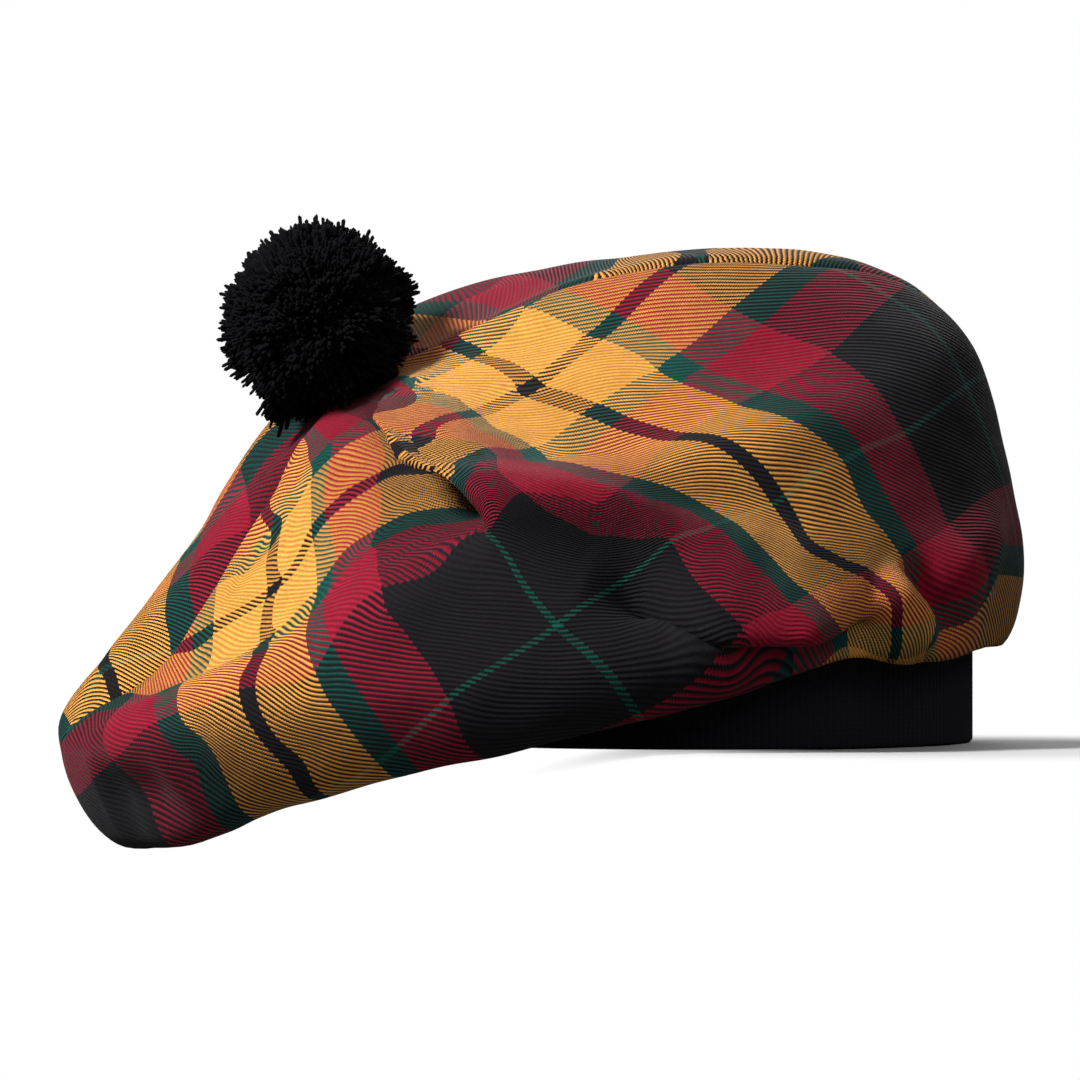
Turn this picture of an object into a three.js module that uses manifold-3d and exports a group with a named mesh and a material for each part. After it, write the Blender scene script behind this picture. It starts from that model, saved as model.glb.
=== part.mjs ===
// A tam o' shanter: a wide soft cap of tartan twill, sewn from a front and a back panel along one seam that
// runs over the top, gathered into a ribbed knitted headband, with a round yarn pompom tied on the seam.
// Millimetres, +Z up, +X to the right and -Y to the front. The origin is where a head enters the cap:
// the middle of the headband's foot. The crown is shown as worn, slumped to the left and over the band.
import * as THREE from "three";
import { mergeVertices } from "three/addons/utils/BufferGeometryUtils.js";
import Module from "manifold-3d";

const wasm = await Module();
wasm.setup();

// Driving sizes
const headbandHalfWidth = 85; // outside, along X
const headbandHalfDepth = 95; // outside, along Y
const headbandHeight = 32;
const headbandWall = 3; // knitted double
const headbandEdgeRound = 1;
const clothThickness = 1.5;
const pieceGap = 0.3; // between pieces that touch
const crownHalfWidth = 144.5; // rim, along X
const crownHalfDepth = 130; // rim, along Y
const crownRise = 112; // top of the crown above the headband
const crownLean = 46; // how far the crown's middle lies to the left of the head
const collarOverhang = 2.5; // how far the gathers stand out past the headband
const pompomLean = 101; // how far the pompom's seat lies to the left of the head
const pompomSeatForward = 3;
const pompomSeatRise = 76; // above the headband
const pompomRadius = 26.4; // without its locks
const pompomPress = 5; // how far the cloth presses into it
const pompomTilt = 24; // degrees, leans the pompom to the left
const lockRadius = 5.4;
const lockTipRadius = 3.4;
const lockHeight = 2.7; // how far a lock stands out of the ball
const tieRadius = 3.4;
const tieHoleRadius = 5;
const tieInPompom = 4;
const tieInCrown = 2; // how far the tie shows inside the crown
const gatherCount = 10;
const gatherDepth = 1.6;

// Fineness of the faceted walls
const frontColumns = 38;
const backColumns = 24;
const panelRows = 26;
const bandSides = 76;
const lockCount = 56;
const lockSides = 5;
const foldSteps = 12;

const degrees = Math.PI / 180;
const crownFoot = headbandHeight + pieceGap;

// Sections of the crown, one for each direction from its middle: 0 is right, 90 back, 180 left, 270 front.
// rimOut is a share of the half width and half depth. Each "up" is a share of crownRise above the headband.
// crest, apex and brow lie between the pompom and the rim, and hemIn is the hem's share of the way back from
// the rim to the headband.
const sections = [
  { rimOut: 1.0, rimUp: 0.21, crestUp: 0.965, apexUp: 1.0, browReach: 0.9, browUp: 0.85, hemIn: 0.5, hemUp: -0.03 },
  { rimOut: 1.0, rimUp: 0.22, crestUp: 0.98, apexUp: 1.04, browReach: 0.85, browUp: 0.88, hemIn: 0.45, hemUp: -0.03 },
  { rimOut: 1.0, rimUp: 0.18, crestUp: 0.98, apexUp: 0.97, browReach: 0.85, browUp: 0.72, hemIn: 0.35, hemUp: -0.06 },
  { rimOut: 1.0, rimUp: 0.07, crestUp: 0.92, apexUp: 0.82, browReach: 0.84, browUp: 0.56, hemIn: 0.3, hemUp: -0.16 },
  { rimOut: 1.0, rimUp: -0.08, crestUp: 0.76, apexUp: 0.58, browReach: 0.84, browUp: 0.34, hemIn: 0.25, hemUp: -0.34 },
  { rimOut: 1.0, rimUp: -0.22, crestUp: 0.55, apexUp: 0.27, browReach: 0.82, browUp: 0.06, hemIn: 0.2, hemUp: -0.48 },
  { rimOut: 1.0, rimUp: -0.27, crestUp: 0.36, apexUp: 0.1, browReach: 0.84, browUp: -0.06, hemIn: 0.18, hemUp: -0.54 },
  { rimOut: 1.0, rimUp: -0.3, crestUp: 0.38, apexUp: 0.06, browReach: 0.78, browUp: -0.12, hemIn: 0.18, hemUp: -0.55 },
  { rimOut: 1.02, rimUp: -0.2, crestUp: 0.4, apexUp: 0.16, browReach: 0.84, browUp: -0.02, hemIn: 0.22, hemUp: -0.39 },
  { rimOut: 1.0, rimUp: -0.1, crestUp: 0.51, apexUp: 0.39, browReach: 0.82, browUp: 0.3, hemIn: 0.3, hemUp: -0.24 },
  { rimOut: 1.02, rimUp: 0.01, crestUp: 0.64, apexUp: 0.51, browReach: 0.82, browUp: 0.39, hemIn: 0.3, hemUp: -0.08 },
  { rimOut: 1.0, rimUp: 0.13, crestUp: 0.79, apexUp: 0.72, browReach: 0.85, browUp: 0.6, hemIn: 0.4, hemUp: -0.05 },
];
const crestReach = 0.4;
const apexReach = 0.66;

// The seam between the panels: its direction on the right and on the left, by reach from the pompom's seat to
// the headband.
const seam = [
  { reach: 0.0, right: 12, left: 196 },
  { reach: 0.15, right: 10, left: 204 },
  { reach: 0.3, right: 2, left: 206 },
  { reach: 0.45, right: 0, left: 192 },
  { reach: 0.6, right: 3, left: 184 },
  { reach: 1.0, right: 3, left: 184 },
];

// Folds of the cloth. Each follows a bent line through from, mid and to, given by direction and reach. width and
// out (along the cloth's normal) are shares of crownRise. lap carries the cloth on the line's left over the cloth
// on its right, and lift parts the two, both as shares of crownRise too.
const folds = [
  { name: "roll", from: [290, 0.05], mid: [272.5, 0.32], to: [268, 0.57], width: 0.115, out: 0.05, lap: 0.27, lift: 0.11 },
  { name: "front shoulder", from: [268, 0.45], mid: [297, 0.57], to: [340, 0.62], width: 0.16, out: 0.06, lap: 0, lift: 0 },
  { name: "front dip", from: [276, 0.6], mid: [295, 0.71], to: [318, 0.83], width: 0.14, out: -0.08, lap: 0, lift: 0 },
  { name: "front lower roll", from: [284, 0.76], mid: [296, 0.81], to: [309, 0.86], width: 0.13, out: 0.05, lap: 0, lift: 0 },
  { name: "tuck roll", from: [309, 0.78], mid: [318, 0.86], to: [326, 0.93], width: 0.12, out: 0.04, lap: 0, lift: 0 },
  { name: "right fold", from: [314, 0.84], mid: [330, 0.83], to: [352, 0.82], width: 0.1, out: 0.04, lap: 0, lift: 0 },
  { name: "long ridge", from: [200, 0.46], mid: [238, 0.52], to: [266, 0.48], width: 0.14, out: 0.07, lap: 0, lift: 0 },
  { name: "left crease", from: [200, 0.1], mid: [206, 0.27], to: [184, 0.5], width: 0.08, out: -0.06, lap: 0, lift: 0 },
  { name: "tip dimple", from: [202, 0.56], mid: [212, 0.57], to: [222, 0.58], width: 0.12, out: -0.05, lap: 0, lift: 0 },
];

// A cubic curve's value between b and c, with a and d on either side.
function cubic(a, b, c, d, t) {
  return b + 0.5 * t * (c - a + t * (2 * a - 5 * b + 4 * c - d + t * (3 * (b - c) + d - a)));
}

// The value of one column of the section table in a direction, on a closed curve through the rows.
function sectionValue(column, azimuth) {
  const count = sections.length;
  const at = ((((azimuth / 360) * count) % count) + count) % count;
  const i = Math.floor(at);
  const v = (k) => sections[(i + k + count) % count][column];
  return cubic(v(-1), v(0), v(1), v(2), at - i);
}

// The seam's direction on one side at a reach.
function seamAzimuth(side, reach) {
  const next = Math.max(1, seam.findIndex((row) => row.reach >= reach));
  const v = (k) => seam[THREE.MathUtils.clamp(next + k, 0, seam.length - 1)][side];
  const [from, to] = [seam[next - 1].reach, seam[next].reach];
  return cubic(v(-2), v(-1), v(0), v(1), (reach - from) / (to - from));
}

const upTo = (share) => crownFoot + share * crownRise;
const pompomSeat = new THREE.Vector3(-pompomLean, -pompomSeatForward, crownFoot + pompomSeatRise);

// A point on the headband's oval, outset from its outside by a length.
function onHeadband(azimuth, outset, z) {
  const [c, s] = [Math.cos(azimuth * degrees), Math.sin(azimuth * degrees)];
  return new THREE.Vector3((headbandHalfWidth + outset) * c, (headbandHalfDepth + outset) * s, z);
}

// The curve of the crown's outside in one direction, from the pompom's seat over the rim to the headband.
function meridian(azimuth) {
  const value = (column) => sectionValue(column, azimuth);
  const [c, s] = [Math.cos(azimuth * degrees), Math.sin(azimuth * degrees)];
  const collar = onHeadband(azimuth, collarOverhang, crownFoot);
  const rim = new THREE.Vector3(
    crownHalfWidth * value("rimOut") * c - crownLean,
    crownHalfDepth * value("rimOut") * s,
    upTo(value("rimUp")),
  );
  const between = (from, to, share, up) => from.clone().lerp(to, share).setZ(upTo(up));
  const points = [
    pompomSeat,
    between(pompomSeat, rim, crestReach, value("crestUp")),
    between(pompomSeat, rim, apexReach, value("apexUp")),
    between(pompomSeat, rim, value("browReach"), value("browUp")),
    rim,
    between(rim, collar, value("hemIn"), value("hemUp")),
    collar,
  ];
  return new THREE.CatmullRomCurve3(points, false, "centripetal");
}

const unfolded = (azimuth, reach) => meridian(azimuth).getPointAt(reach);

// A fold's line on the unfolded crown, as a chain of points.
function foldLine(fold) {
  const bend = (k, t) => {
    const [a, m, b] = [fold.from[k], fold.mid[k], fold.to[k]];
    return (1 - t) * (1 - 2 * t) * a + 4 * t * (1 - t) * m + t * (2 * t - 1) * b;
  };
  const shares = Array.from({ length: foldSteps + 1 }, (_, i) => i / foldSteps);
  return shares.map((t) => unfolded(bend(0, t), bend(1, t)));
}

const foldLines = folds.map(foldLine);

// The place on a fold's line that is nearest to a point: how far off and to which side the point lies, how far
// along the line that is, and which way the line runs.
function nearestOn(line, point) {
  const best = { off: Infinity };
  for (let i = 0; i < foldSteps; i += 1) {
    const step = new THREE.Line3(line[i], line[i + 1]);
    const share = step.closestPointToPointParameter(point, true);
    const apart = point.clone().sub(step.at(share, new THREE.Vector3()));
    if (apart.length() < best.off) {
      const way = step.delta(new THREE.Vector3());
      Object.assign(best, { off: apart.length(), apart, along: (i + share) / foldSteps, way });
    }
  }
  return best;
}

// Moves a point of the unfolded crown by the gathers above the headband and by every fold near it. A fold moves
// the cloth out by a bell curve of the distance from its line. A lapped one also draws its two sides over each
// other, by the distance times such a curve. Folds run out to nothing at both ends, at the pompom and at the headband.
function folded(point, normal, azimuth, reach) {
  const { smoothstep } = THREE.MathUtils;
  const free = smoothstep(reach, 0, 0.1) * (1 - smoothstep(reach, 0.88, 0.98));
  const gathered = smoothstep(reach, 0.76, 0.92) * (1 - smoothstep(reach, 0.94, 1));
  const ripple = gathered * gatherDepth * Math.cos(gatherCount * azimuth * degrees);
  const moved = point.clone().addScaledVector(normal, ripple);
  folds.forEach((fold, i) => {
    const near = nearestOn(foldLines[i], point);
    const left = new THREE.Vector3().crossVectors(normal, near.way).normalize();
    const end = Math.min(near.along, 1 - near.along);
    const far = near.off / (fold.width * crownRise);
    const swell = crownRise * free * smoothstep(end, -0.1, 0.35) * Math.exp(-(far ** 2));
    const side = Math.sign(near.apart.dot(left));
    const carry = crownRise * free * smoothstep(end, 0, 0.4) * side * far * Math.exp((1 - far ** 2) / 2);
    moved.addScaledVector(normal, swell * fold.out + carry * fold.lift).addScaledVector(left, -carry * fold.lap);
  });
  return moved;
}

// Normals of a closed ring of columns of points, facing out of the crown, and the way round the ring.
function ringNormals(ring) {
  return ring.map((column, i) =>
    column.map((_, j) => {
      const around = ring[(i + 1) % ring.length][j].clone().sub(ring.at(i - 1)[j]).normalize();
      const down = column[Math.min(j + 1, column.length - 1)].clone().sub(column[Math.max(j - 1, 0)]);
      return { normal: down.cross(around).normalize(), around };
    }),
  );
}

// The directions and reaches of the columns of one panel, up to but without the seam where it ends.
function panelPlaces(columns, rows, start, end, turn) {
  const azimuth = (i, reach) => {
    const [from, to] = [seamAzimuth(start, reach), seamAzimuth(end, reach) + turn];
    return from + ((to - from) * i) / columns;
  };
  return Array.from({ length: columns }, (_, i) => {
    const hole = tieHoleRadius / meridian(azimuth(i, 0)).getLength();
    return Array.from({ length: rows + 1 }, (_, j) => {
      const reach = 1 - (1 - hole) * (1 - j / rows);
      return { reach, azimuth: azimuth(i, reach) };
    });
  });
}

// The outside of the whole crown: a closed ring of columns of points from the pompom to the headband, the front
// panel's first, each with a last point that lies on the headband.
export function crownRing(front, back, rows) {
  const places = [
    ...panelPlaces(front, rows, "left", "right", 360),
    ...panelPlaces(back, rows, "right", "left", 0),
  ];
  const flat = places.map((column) => column.map((at) => unfolded(at.azimuth, at.reach)));
  const sides = ringNormals(flat);
  return flat.map((column, i) => {
    const cloth = column.map((point, j) => folded(point, sides[i][j].normal, places[i][j].azimuth, places[i][j].reach));
    const lip = onHeadband(places[i][rows].azimuth, headbandEdgeRound - headbandWall, crownFoot);
    return [...cloth, lip];
  });
}

// A closed body between an outer and an inner grid of points of the same size.
function bodyBetween(outer, inner) {
  const corners = [];
  const quad = (a, b, c, d) => corners.push(a, b, c, a, c, d);
  const [columns, rows] = [outer.length - 1, outer[0].length - 1];
  for (let i = 0; i < columns; i += 1) {
    for (let j = 0; j < rows; j += 1) {
      quad(outer[i][j], outer[i][j + 1], outer[i + 1][j + 1], outer[i + 1][j]);
      quad(inner[i][j], inner[i + 1][j], inner[i + 1][j + 1], inner[i][j + 1]);
    }
    quad(outer[i][0], outer[i + 1][0], inner[i + 1][0], inner[i][0]);
    quad(outer[i][rows], inner[i][rows], inner[i + 1][rows], outer[i + 1][rows]);
  }
  for (let j = 0; j < rows; j += 1) {
    quad(outer[0][j], inner[0][j], inner[0][j + 1], outer[0][j + 1]);
    quad(outer[columns][j], outer[columns][j + 1], inner[columns][j + 1], inner[columns][j]);
  }
  return new THREE.BufferGeometry().setFromPoints(corners);
}

// A panel's wall: the ring's columns from first to last, drawn in from the seam by half a gap at both ends, and
// the same offset inward by the cloth.
function panelWall(ring, first, last) {
  const sides = ringNormals(ring);
  const columns = Array.from({ length: last - first + 1 }, (_, k) => (first + k) % ring.length);
  const walls = [0, clothThickness].map((depth) =>
    columns.map((at, k) => {
      const drawn = (pieceGap / 2) * ((k === 0) - (k === last - first));
      return ring[at].map((point, j) => {
        const { normal, around } = sides[at][j];
        const placed = point.clone().addScaledVector(around, drawn);
        const atFoot = j === ring[at].length - 1;
        return atFoot ? placed.setZ(crownFoot + depth) : placed.addScaledVector(normal, -depth);
      });
    }),
  );
  return bodyBetween(...walls);
}

// Everything that the crown encloses, grown by a clearance, as a closed body that presses the pompom flat.
function crownFilled(ring, clearance) {
  const sides = ringNormals(ring);
  const grown = ring.map((column, i) =>
    column.map((point, j) => point.clone().addScaledVector(sides[i][j].normal, clearance)),
  );
  const middle = (row) => {
    const sum = grown.reduce((total, column) => total.add(column.at(row)), new THREE.Vector3());
    return sum.divideScalar(grown.length);
  };
  const [top, bottom] = [middle(0), middle(-1)];
  const corners = [];
  grown.forEach((column, i) => {
    const next = grown[(i + 1) % grown.length];
    corners.push(top, column[0], next[0], bottom, next.at(-1), column.at(-1));
    for (let j = 0; j < column.length - 1; j += 1) {
      corners.push(column[j], column[j + 1], next[j + 1], column[j], next[j + 1], next[j]);
    }
  });
  return new THREE.BufferGeometry().setFromPoints(corners);
}

// A closed three.js geometry as a solid that can be joined and cut, and the way back.
function solidOf(geometry) {
  const bare = geometry.index ? geometry.toNonIndexed() : geometry.clone();
  bare.deleteAttribute("normal");
  bare.deleteAttribute("uv");
  const merged = mergeVertices(bare, 1e-4);
  return new wasm.Manifold(
    new wasm.Mesh({
      numProp: 3,
      vertProperties: Float32Array.from(merged.attributes.position.array),
      triVerts: Uint32Array.from(merged.index.array),
    }),
  );
}

function geometryOf(solid) {
  const mesh = solid.getMesh();
  const geometry = new THREE.BufferGeometry();
  geometry.setAttribute("position", new THREE.BufferAttribute(mesh.vertProperties, 3));
  geometry.setIndex(new THREE.BufferAttribute(mesh.triVerts, 1));
  return geometry;
}

// The headband: an oval ring with its edges eased.
function headbandGeometry() {
  const outline = new THREE.Shape();
  outline.absellipse(0, 0, headbandHalfWidth - headbandEdgeRound, headbandHalfDepth - headbandEdgeRound, 0, 2 * Math.PI);
  const inset = headbandWall - headbandEdgeRound;
  const hollow = new THREE.Path();
  hollow.absellipse(0, 0, headbandHalfWidth - inset, headbandHalfDepth - inset, 0, 2 * Math.PI);
  outline.holes.push(hollow);
  const ring = new THREE.ExtrudeGeometry(outline, {
    depth: headbandHeight - 2 * headbandEdgeRound,
    bevelSize: headbandEdgeRound,
    bevelThickness: headbandEdgeRound,
    bevelSegments: 1,
    curveSegments: bandSides / 2,
  });
  return ring.translate(0, 0, headbandEdgeRound);
}

const up = new THREE.Vector3(0, 0, 1);
const seatAxis = new THREE.Vector3(-Math.sin(pompomTilt * degrees), 0, Math.cos(pompomTilt * degrees));

// The tie, a short round peg along the pompom's axis through the crown's seat.
function tieGeometry(clearance) {
  const [below, above] = [clothThickness + tieInCrown + clearance, tieInPompom + clearance];
  const peg = new THREE.CylinderGeometry(tieRadius + clearance, tieRadius + clearance, below + above, 16);
  peg.rotateX(Math.PI / 2).translate(0, 0, (above - below) / 2);
  const turn = new THREE.Quaternion().setFromUnitVectors(up, seatAxis);
  return peg.applyQuaternion(turn).translate(pompomSeat.x, pompomSeat.y, pompomSeat.z);
}

// The pompom: a ball with tapered locks spread evenly over it, pressed flat on the crown.
function pompomGeometry(ring) {
  const golden = Math.PI * (3 - Math.sqrt(5));
  const rooted = pompomRadius - lockHeight;
  const locks = Array.from({ length: lockCount }, (_, k) => {
    const z = 1 - (2 * k + 1) / lockCount;
    const ring = Math.sqrt(1 - z * z);
    const way = new THREE.Vector3(ring * Math.cos(k * golden), ring * Math.sin(k * golden), z);
    const lock = new THREE.CylinderGeometry(lockTipRadius, lockRadius, 2 * lockHeight, lockSides);
    lock.rotateX(Math.PI / 2).translate(0, 0, rooted + lockHeight);
    return solidOf(lock.applyQuaternion(new THREE.Quaternion().setFromUnitVectors(up, way)));
  });
  const ball = solidOf(new THREE.IcosahedronGeometry(pompomRadius, 3));
  const middle = pompomSeat.clone().addScaledVector(seatAxis, pompomRadius + lockHeight - pompomPress);
  const whole = locks.reduce((sum, lock) => sum.add(lock), ball).translate(middle.toArray());
  const pressed = whole.subtract(solidOf(crownFilled(ring, pieceGap))).subtract(solidOf(tieGeometry(pieceGap)));
  return geometryOf(pressed);
}

const tartanTwill = new THREE.MeshStandardMaterial({ color: 0xa86a3a, roughness: 0.9, side: THREE.DoubleSide });
const headbandKnit = new THREE.MeshStandardMaterial({ color: 0x17161b, roughness: 0.95 });
const pompomYarn = new THREE.MeshStandardMaterial({ color: 0x0e0d10, roughness: 1 });

const group = new THREE.Group();
function add(name, geometry, material) {
  const mesh = new THREE.Mesh(geometry, material);
  mesh.name = name;
  group.add(mesh);
}

const crown = crownRing(frontColumns, backColumns, panelRows);
add("crown_front_panel", panelWall(crown, 0, frontColumns), tartanTwill);
add("crown_back_panel", panelWall(crown, frontColumns, frontColumns + backColumns), tartanTwill);
add("headband", headbandGeometry(), headbandKnit);
add("pompom", pompomGeometry(crown), pompomYarn);
add("pompom_tie", tieGeometry(0), pompomYarn);

export default group;
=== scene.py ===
from collections import namedtuple
from functools import partial

import bpy
import numpy as np
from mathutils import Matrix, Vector
from numpy.linalg import norm


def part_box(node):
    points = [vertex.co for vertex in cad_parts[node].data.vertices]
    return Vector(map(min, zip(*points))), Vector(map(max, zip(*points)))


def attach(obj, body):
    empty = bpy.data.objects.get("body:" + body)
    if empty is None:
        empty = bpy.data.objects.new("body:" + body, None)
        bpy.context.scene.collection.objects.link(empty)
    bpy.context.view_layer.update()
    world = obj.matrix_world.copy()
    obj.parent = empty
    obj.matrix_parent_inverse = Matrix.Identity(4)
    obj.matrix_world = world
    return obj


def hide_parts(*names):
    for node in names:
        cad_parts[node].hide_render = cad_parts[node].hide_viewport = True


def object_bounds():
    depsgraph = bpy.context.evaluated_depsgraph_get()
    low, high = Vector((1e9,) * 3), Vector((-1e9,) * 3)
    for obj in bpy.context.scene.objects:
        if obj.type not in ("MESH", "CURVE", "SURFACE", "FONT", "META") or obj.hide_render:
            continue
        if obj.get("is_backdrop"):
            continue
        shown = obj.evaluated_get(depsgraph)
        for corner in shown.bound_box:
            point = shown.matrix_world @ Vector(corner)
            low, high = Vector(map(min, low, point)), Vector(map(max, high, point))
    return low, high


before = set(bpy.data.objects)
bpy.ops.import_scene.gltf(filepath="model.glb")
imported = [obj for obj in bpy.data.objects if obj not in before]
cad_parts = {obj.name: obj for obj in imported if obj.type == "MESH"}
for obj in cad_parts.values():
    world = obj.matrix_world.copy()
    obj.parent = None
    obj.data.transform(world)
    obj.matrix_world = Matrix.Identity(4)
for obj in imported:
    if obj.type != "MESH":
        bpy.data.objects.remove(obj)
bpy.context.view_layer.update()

bl_info = {
    "name": "Tam o' Shanter Looks",
    "version": (1, 0, 0),
    "blender": (4, 5, 0),
    "location": "View3D > Sidebar > Tam",
    "description": "Dresses the packed cap with tartan twill, ribbed knit and a yarn pompom",
    "category": "Object",
}

MM = 0.001
BAND_LOW, BAND_HIGH = (np.array(corner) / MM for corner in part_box("headband"))

# The crown's form, as the part's own source gives it, in millimetres
BAND_HALF_WIDTH = float(BAND_HIGH[0] - BAND_LOW[0]) / 2
BAND_HALF_DEPTH = float(BAND_HIGH[1] - BAND_LOW[1]) / 2
BAND_HEIGHT = float(BAND_HIGH[2])
BAND_WALL = 3.0
CROWN_HALF_WIDTH = 144.5
CROWN_HALF_DEPTH = 130.0
CROWN_RISE = 112.0
CROWN_LEAN = 46.0
CROWN_FOOT = BAND_HEIGHT + 0.3
COLLAR_OVERHANG = 2.5
POMPOM_SEAT = np.array([-101.0, -3.0, CROWN_FOOT + 76.0])
TIE_HOLE_RADIUS = 5.0
POMPOM_RADIUS = 26.4
POMPOM_TILT = np.radians(30)
POMPOM_LIFT = 21.0
POMPOM_CENTRE = POMPOM_SEAT + POMPOM_LIFT * np.array([-np.sin(POMPOM_TILT), 0, np.cos(POMPOM_TILT)])
POMPOM_CORE = 0.8
POMPOM_TAIL_WAY = (-0.45, -0.1, -0.89)
POMPOM_TAIL = 4.5
POMPOM_TAIL_SPREAD = 0.997
STRAND_UNEVEN = 0.6
STRAND_STEPS = (0.7, 0.86, 0.985, 1.0)
BAND_EDGE = 1.0
SEAM_GAP = 0.5
SEAM_DIP = 1.1
SEAM_WIDTH = 2.4
GATHER_COUNT = 10
GATHER_DEPTH = 1.6
CREST_REACH = 0.4
APEX_REACH = 0.66

SECTION_COLUMNS = ("rim_out", "rim_up", "crest_up", "apex_up", "brow_reach", "brow_up", "hem_in", "hem_up")
SECTIONS = np.array([
    (1.0, 0.21, 0.965, 1.0, 0.9, 0.85, 0.5, -0.03),
    (1.0, 0.22, 0.98, 1.04, 0.85, 0.88, 0.45, -0.03),
    (1.0, 0.18, 0.98, 0.97, 0.85, 0.72, 0.35, -0.06),
    (1.0, 0.07, 0.92, 0.82, 0.84, 0.56, 0.3, -0.16),
    (1.0, -0.08, 0.76, 0.58, 0.84, 0.34, 0.25, -0.34),
    (1.0, -0.22, 0.55, 0.27, 0.82, 0.06, 0.2, -0.48),
    (1.0, -0.27, 0.36, 0.1, 0.84, -0.06, 0.18, -0.54),
    (1.0, -0.3, 0.38, 0.06, 0.78, -0.12, 0.18, -0.55),
    (1.02, -0.2, 0.4, 0.16, 0.84, -0.02, 0.22, -0.39),
    (1.0, -0.1, 0.51, 0.39, 0.82, 0.3, 0.3, -0.24),
    (1.02, 0.01, 0.64, 0.51, 0.82, 0.39, 0.3, -0.08),
    (1.0, 0.13, 0.79, 0.72, 0.85, 0.6, 0.4, -0.05),
])
SEAM_COLUMNS = ("reach", "right", "left")
SEAM = np.array([
    (0.0, 12, 196),
    (0.15, 10, 204),
    (0.3, 2, 206),
    (0.45, 0, 192),
    (0.6, 3, 184),
    (1.0, 3, 184),
], float)

# Folds: a bent line through three places (direction, reach), then shares of CROWN_RISE. out moves the cloth along
# its normal. lap carries the cloth on the line's left over the cloth on its right, and lift parts the two.
Fold = namedtuple("Fold", ("start", "mid", "end", "width", "out", "lap", "lift"))
FOLDS = [
    ((290, 0.05), (272.5, 0.32), (268, 0.57), 0.115, 0.05, 0.27, 0.11),
    ((268, 0.45), (297, 0.57), (340, 0.62), 0.13, 0.05, 0, 0),
    ((271, 0.47), (289, 0.62), (312, 0.79), 0.075, 0.055, 0, 0),
    ((278, 0.63), (292, 0.745), (313, 0.865), 0.085, -0.11, 0, 0),
    ((281, 0.67), (297, 0.785), (315, 0.872), 0.07, 0, 0.17, 0.10),
    ((284, 0.77), (297, 0.82), (309, 0.87), 0.10, 0.06, 0, 0),
    ((313, 0.81), (316, 0.87), (320, 0.94), 0.085, 0.07, 0, 0),
    ((319, 0.81), (323, 0.87), (328, 0.94), 0.06, -0.06, 0, 0),
    ((323, 0.85), (334, 0.85), (352, 0.82), 0.09, 0.04, 0, 0),
    ((200, 0.46), (238, 0.52), (266, 0.48), 0.14, 0.07, 0, 0),
    ((200, 0.10), (206, 0.27), (184, 0.50), 0.08, -0.06, 0, 0),
    ((202, 0.56), (212, 0.57), (222, 0.58), 0.12, -0.05, 0, 0),
]

# The camera that took the photograph: its frame in pixels, and its place and scale in millimetres
PHOTO_SIDE = 1080
CAMERA_AWAY = 2000.0
CAMERA_X = -45.2
CAMERA_Z = 60.3
PIXELS_PER_MM = 3.317

# The tartan's half sett from the middle of the yellow to the middle of the black, in millimetres
SETT_HALF = 97.0
YELLOW_LINE_TO = 2.5
YELLOW_TO = 25.0
GREEN_TO = 35.0
CRIMSON_TO = 57.6
GREEN_LINE_FROM = 95.6

# The twill's shades: the painted shade in the grooves between its ribs, the spread and the least of a thread, and of
# the soft mottling
PAINTED_GROOVE_SHADE = 0.5
THREAD_SPREAD, THREAD_LEAST = 0.22, 0.8
MOTTLE_SPREAD, MOTTLE_LEAST = 0.3, -0.15

# Finer relief in metres, the length of a stitch in millimetres, and the yarn's fibres to the metre
STITCH = 1.4
KNIT_RELIEF = 0.1 * MM
YARN_RELIEF = 0.15 * MM
YARN_GRAIN = 2.5 / MM

# The stage, in millimetres and watts: paper that sinks under the slumped side of the cap, with one colour to the
# camera and a darker one to the light, and shadows only about SHADOW_PLACE
STAGE_HALF = 1500.0
FLOOR_GAP = 0.3
FLOOR_HIGH_TO = 0.0
FLOOR_LOW_FROM = 150.0
FLOOR_SEEN = "#C4C4C4"
FLOOR_BOUNCE = "#6A6A6A"
SHADOW_PLACE = (85, -60, 0)
SHADOW_FROM = 50.0
SHADOW_TO = 140.0
WORLD_STRENGTH = 0.12
LIGHT_AIM = (-45, 0, 60)
LIGHTS = [
    ("key_light", (-1030, -660, 930), 350, 38.5),
    ("fill_light", (500, -1300, 900), 900, 5.0),
    ("back_light", (300, 1300, 1000), 900, 14.0),
]


def settings():
    return bpy.context.scene.tam


# Shape of the crown

def cubic(a, b, c, d, t):
    """A cubic curve's value between b and c, with a and d on either side."""
    return b + 0.5 * t * (c - a + t * (2 * a - 5 * b + 4 * c - d + t * (3 * (b - c) + d - a)))


def smoothstep(x, low, high):
    """Rises from 0 at low to 1 at high with level ends."""
    t = np.clip((x - low) / (high - low), 0, 1)
    return t * t * (3 - 2 * t)


def section(column, azimuth):
    """One column of the section table in a direction in degrees, on a closed cubic curve through the rows."""
    values = SECTIONS[:, SECTION_COLUMNS.index(column)]
    at = np.mod(azimuth / 360 * len(values), len(values))
    row = np.floor(at).astype(int)
    near = [values[(row + k) % len(values)] for k in (-1, 0, 1, 2)]
    return cubic(*near, at - row)


def seam_azimuth(side, reach):
    """The seam's direction on one side at a reach, on a cubic curve through the seam table."""
    rows, values = SEAM[:, 0], SEAM[:, SEAM_COLUMNS.index(side)]
    after = np.clip(np.searchsorted(rows, reach), 1, len(rows) - 1)
    near = [values[np.clip(after + k, 0, len(rows) - 1)] for k in (-2, -1, 0, 1)]
    return cubic(*near, (reach - rows[after - 1]) / (rows[after] - rows[after - 1]))


def on_headband(azimuth, outset, z):
    """A point of the headband's oval, outset from its outside by a length."""
    a = np.radians(azimuth)
    x, y = (BAND_HALF_WIDTH + outset) * np.cos(a), (BAND_HALF_DEPTH + outset) * np.sin(a)
    return np.stack([x, y, np.full_like(x, z)], -1)


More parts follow.
